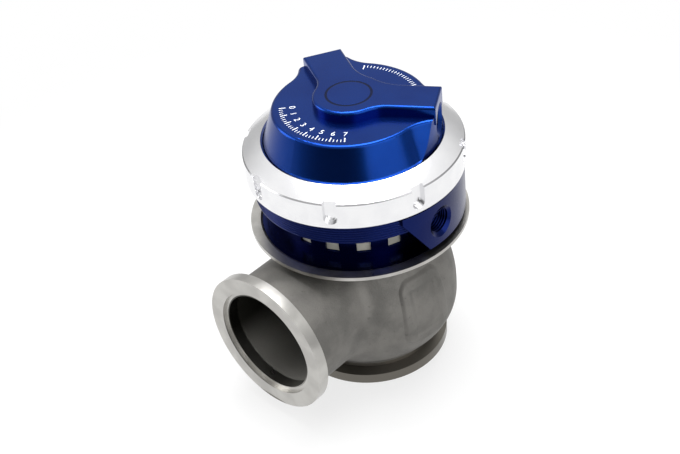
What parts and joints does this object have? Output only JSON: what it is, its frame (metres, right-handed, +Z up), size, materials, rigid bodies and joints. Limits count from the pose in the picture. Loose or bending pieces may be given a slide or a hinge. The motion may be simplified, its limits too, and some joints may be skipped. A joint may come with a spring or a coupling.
{
  "type": "external turbo wastegate",
  "caption": "External exhaust wastegate: poppet valve in a cast V-band housing, lifted by a spring-loaded diaphragm actuator under a slotted locking collar.",
  "frame": {"origin": "centre of the inlet opening, on the inlet flange's face", "axes": "+Z up the valve axis from inlet to cap; -Y out of the outlet flange"},
  "size_m": [0.0772, 0.0911, 0.1055],
  "materials": {
    "cast_steel": "sand-blasted casting with machined flanges",
    "seat_steel": "ground",
    "valve_steel": "turned",
    "bronze": "turned",
    "gasket": "graphite fibre sheet",
    "blue_anodised": "satin blue anodising",
    "screw_steel": "plain",
    "washer_steel": "plain",
    "seal_rubber": "moulded",
    "plate_aluminium": "turned",
    "diaphragm_rubber": "fabric-reinforced silicone",
    "spring_steel": "drawn wire",
    "polished_aluminium": "polished"
  },
  "bodies": {
    "housing": {"valve_housing": "cast_steel", "valve_seat": "seat_steel", "valve_guide": "bronze", "heat_gasket": "gasket", "actuator_base": "blue_anodised", "base_screws": "screw_steel", "base_screw_washers": "washer_steel", "stem_bush": "bronze", "stem_o_ring": "seal_rubber", "seal_washer": "washer_steel", "seal_circlip": "screw_steel", "diaphragm": "diaphragm_rubber", "outer_spring": "spring_steel", "inner_spring": "spring_steel"},
    "valve_group": {"valve": "valve_steel", "lower_plate": "plate_aluminium", "piston_cup": "plate_aluminium", "stem_washer": "washer_steel", "stem_nut": "screw_steel"},
    "cap": {"top_cap": "blue_anodised"},
    "collar": {"locking_collar": "polished_aluminium"}
  },
  "joints": [
    {"name": "valve_lift", "type": "slide", "parent": "housing", "child": "valve_group", "axis": [0, 0, 1], "range_m": [0, 0.01], "stiffness_N_per_m": 4000, "springref_m": -0.01, "deforming": ["outer_spring", "inner_spring", "diaphragm"]},
    {"name": "cap_turn", "type": "hinge", "parent": "housing", "child": "cap", "pos_m": [0, 0, 0.085], "axis": [0, 0, 1], "continuous": true},
    {"name": "collar_turn", "type": "hinge", "parent": "housing", "child": "collar", "pos_m": [0, 0, 0.083], "axis": [0, 0, 1], "continuous": true}
  ]
}
